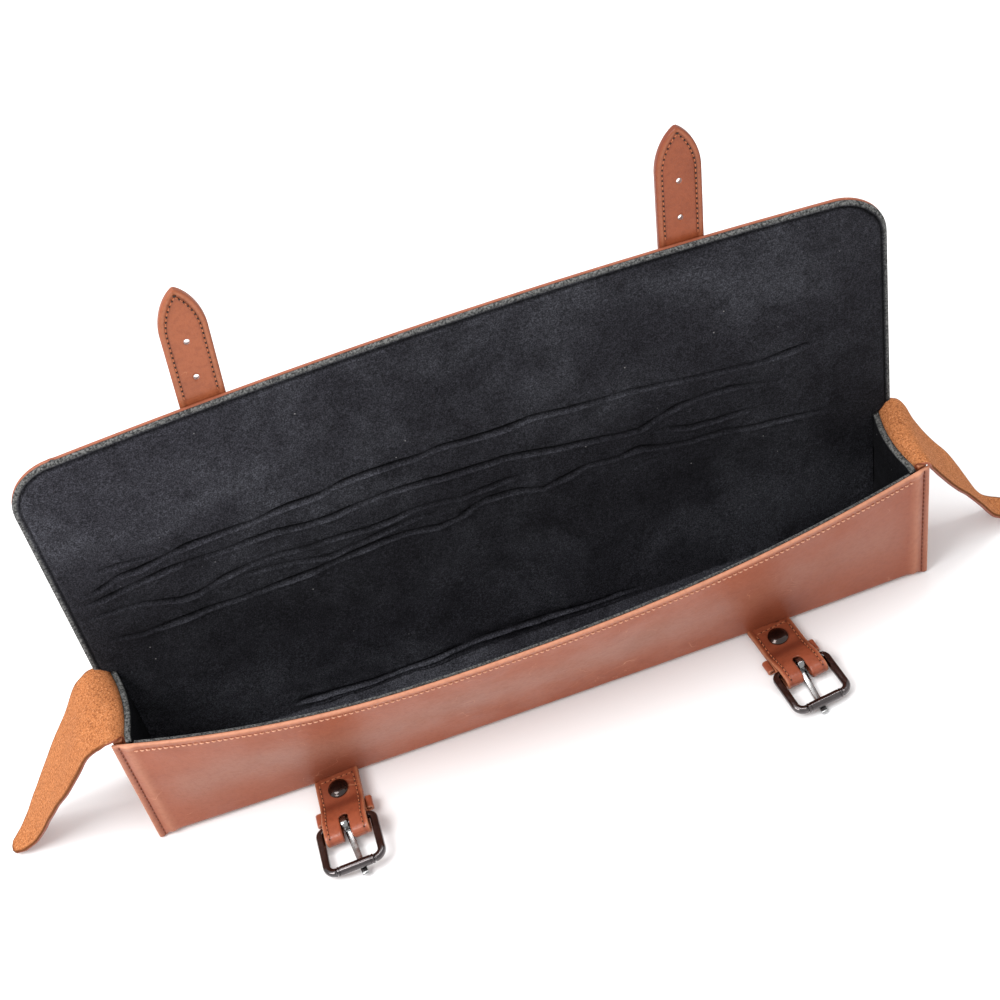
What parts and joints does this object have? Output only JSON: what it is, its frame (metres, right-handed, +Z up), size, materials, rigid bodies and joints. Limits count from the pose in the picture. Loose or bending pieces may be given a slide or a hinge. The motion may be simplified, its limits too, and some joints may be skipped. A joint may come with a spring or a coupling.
{
  "type": "flute case cover",
  "caption": "Long box-shaped leather cover for a flute case, standing open: felt lining, raised flap with straps, roller buckles on tabs, and end ears that droop to the floor.",
  "frame": {"origin": "middle of the underside between the ends, on the surface that it stands on", "axes": "+X along the case's length, +Y from the buckles to the back wall, +Z up along the raised flap"},
  "size_m": [0.5881, 0.1332, 0.2953],
  "materials": {
    "tan_leather": "waxed pull-up leather",
    "black_felt": "matte nap",
    "gunmetal": "polished gunmetal plate",
    "bright_steel": "polished",
    "dark_rivet": "glossy"
  },
  "bodies": {
    "cover": {"body_leather": "tan_leather", "body_lining": "black_felt", "end_panel_left": "tan_leather", "end_panel_right": "tan_leather", "end_lining_left": "black_felt", "end_lining_right": "black_felt", "strap_left": "tan_leather", "strap_right": "tan_leather", "tab_left": "tan_leather", "tab_right": "tan_leather", "keeper_left": "tan_leather", "keeper_right": "tan_leather", "rivet_left": "dark_rivet", "rivet_right": "dark_rivet"},
    "left_buckle": {"buckle_frame_left": "gunmetal"},
    "left_roller": {"buckle_roller_left": "gunmetal"},
    "left_prong": {"buckle_prong_left": "bright_steel"},
    "right_buckle": {"buckle_frame_right": "gunmetal"},
    "right_roller": {"buckle_roller_right": "gunmetal"},
    "right_prong": {"buckle_prong_right": "bright_steel"}
  },
  "joints": [
    {"name": "left_buckle_hinge", "type": "hinge", "parent": "cover", "child": "left_buckle", "pos_m": [-0.12258, -0.05959, 0.00734], "axis": [-0.9889, 0.0518, -0.1392], "range_deg": [-40, 150]},
    {"name": "left_roller_spin", "type": "hinge", "parent": "left_buckle", "child": "left_roller", "pos_m": [-0.12382, -0.08505, 0.00672], "axis": [-0.9889, 0.0518, -0.1392], "continuous": true},
    {"name": "left_prong_hinge", "type": "hinge", "parent": "left_buckle", "child": "left_prong", "pos_m": [-0.12258, -0.05959, 0.00734], "axis": [-0.9889, 0.0518, -0.1392], "range_deg": [-60, 0]},
    {"name": "right_buckle_hinge", "type": "hinge", "parent": "cover", "child": "right_buckle", "pos_m": [0.12867, -0.05902, 0.0056], "axis": [-0.9914, -0.1305, 0], "range_deg": [-40, 150]},
    {"name": "right_roller_spin", "type": "hinge", "parent": "right_buckle", "child": "right_roller", "pos_m": [0.132, -0.0843, 0.00498], "axis": [-0.9914, -0.1305, 0], "continuous": true},
    {"name": "right_prong_hinge", "type": "hinge", "parent": "right_buckle", "child": "right_prong", "pos_m": [0.12867, -0.05902, 0.0056], "axis": [-0.9914, -0.1305, 0], "range_deg": [-60, 0]}
  ]
}
